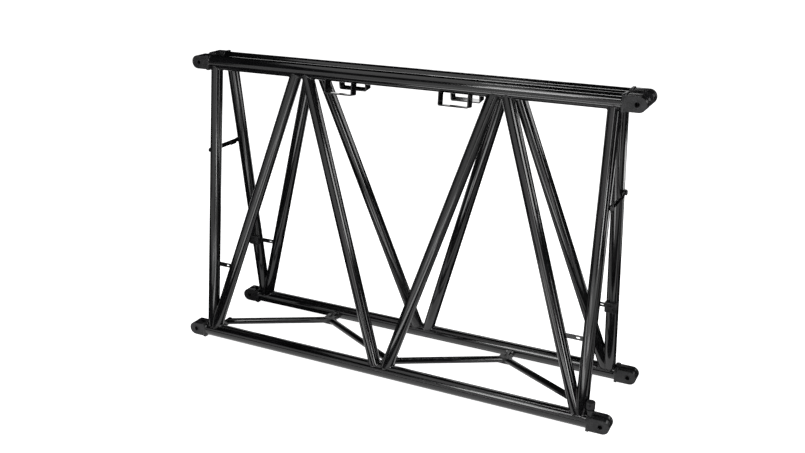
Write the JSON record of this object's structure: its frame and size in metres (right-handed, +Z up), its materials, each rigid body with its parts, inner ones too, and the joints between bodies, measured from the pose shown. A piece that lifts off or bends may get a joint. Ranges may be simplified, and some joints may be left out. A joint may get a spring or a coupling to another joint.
{
  "type": "folding lighting truss section",
  "caption": "Folding A-shaped stage truss section: two tubular side frames hinged along their top chords, held apart by hooked braces and stays, with pin forks at the chord ends.",
  "frame": {"origin": "on the floor under the middle of the section: the centre of the box's bottom face", "axes": "+X along the chords, -Y the frame that carries the braces, +Z up"},
  "size_m": [1.555, 0.3826, 1.004],
  "materials": {
    "black_gloss": "gloss black powder coat",
    "black_satin": "satin black",
    "black_steel": "black oxide steel"
  },
  "bodies": {
    "near_frame": {"near_top_chord": "black_gloss", "near_top_left_fork": "black_satin", "near_top_right_fork": "black_satin", "near_bottom_chord": "black_gloss", "near_bottom_left_fork": "black_satin", "near_bottom_right_fork": "black_satin", "near_left_post": "black_gloss", "near_left_outer_diagonal": "black_gloss", "near_left_inner_diagonal": "black_gloss", "near_left_handle": "black_gloss", "near_left_tie_bar": "black_gloss", "near_right_post": "black_gloss", "near_right_outer_diagonal": "black_gloss", "near_right_inner_diagonal": "black_gloss", "near_right_handle": "black_gloss", "near_right_tie_bar": "black_gloss", "left_foot_lug": "black_gloss", "left_foot_bolt": "black_steel", "middle_foot_lug": "black_gloss", "middle_foot_bolt": "black_steel", "right_foot_lug": "black_gloss", "right_foot_bolt": "black_steel", "left_hinge_near_leaf": "black_steel", "left_hinge_pin": "black_steel", "left_stay_bolt": "black_steel", "right_hinge_near_leaf": "black_steel", "right_hinge_pin": "black_steel", "right_stay_bolt": "black_steel"},
    "far_frame": {"far_top_chord": "black_gloss", "far_top_left_fork": "black_satin", "far_top_right_fork": "black_satin", "far_bottom_chord": "black_gloss", "far_bottom_left_fork": "black_satin", "far_bottom_right_fork": "black_satin", "far_left_post": "black_gloss", "far_left_outer_diagonal": "black_gloss", "far_left_inner_diagonal": "black_gloss", "far_left_handle": "black_gloss", "far_left_tie_bar": "black_gloss", "far_right_post": "black_gloss", "far_right_outer_diagonal": "black_gloss", "far_right_inner_diagonal": "black_gloss", "far_right_handle": "black_gloss", "far_right_tie_bar": "black_gloss", "left_hinge_far_leaf": "black_steel", "left_stay_stud": "black_steel", "left_brace_catch": "black_gloss", "right_hinge_far_leaf": "black_steel", "right_stay_stud": "black_steel", "right_brace_catch": "black_gloss"},
    "left_brace": {"left_brace_left_leg": "black_gloss", "left_brace_right_leg": "black_gloss", "left_brace_hook": "black_satin"},
    "left_stay": {"left_stay": "black_gloss"},
    "right_brace": {"right_brace_left_leg": "black_gloss", "right_brace_right_leg": "black_gloss", "right_brace_hook": "black_satin"},
    "right_stay": {"right_stay": "black_gloss"},
    "near_plunger": {"near_plunger": "black_steel"},
    "far_plunger": {"far_plunger": "black_steel"}
  },
  "joints": [
    {"name": "fold", "type": "hinge", "parent": "near_frame", "child": "far_frame", "pos_m": [0, 0, 0.973], "axis": [-1, 0, 0], "range_deg": [0, 15]},
    {"name": "left_brace_swing", "type": "hinge", "parent": "near_frame", "child": "left_brace", "pos_m": [-0.35, -0.126, 0.025], "axis": [1, 0, 0], "range_deg": [0, 82.5]},
    {"name": "right_brace_swing", "type": "hinge", "parent": "near_frame", "child": "right_brace", "pos_m": [0.344, -0.126, 0.025], "axis": [1, 0, 0], "range_deg": [0, 82.5]},
    {"name": "left_stay_swing", "type": "hinge", "parent": "near_frame", "child": "left_stay", "pos_m": [-0.7125, -0.08136, 0.677], "axis": [1, 0, 0], "range_deg": [0, 82.5]},
    {"name": "right_stay_swing", "type": "hinge", "parent": "near_frame", "child": "right_stay", "pos_m": [0.7065, -0.08136, 0.677], "axis": [1, 0, 0], "range_deg": [0, 82.5]},
    {"name": "near_plunger_slide", "type": "slide", "parent": "near_frame", "child": "near_plunger", "axis": [0, 0, 1], "range_m": [0, 0.02]},
    {"name": "far_plunger_slide", "type": "slide", "parent": "far_frame", "child": "far_plunger", "axis": [0, 0, 1], "range_m": [0, 0.02]}
  ],
  "couplings": [
    {"joint": "left_brace_swing", "follows": "fold", "ratio": 5.5},
    {"joint": "right_brace_swing", "follows": "fold", "ratio": 5.5},
    {"joint": "left_stay_swing", "follows": "fold", "ratio": 5.5},
    {"joint": "right_stay_swing", "follows": "fold", "ratio": 5.5}
  ]
}
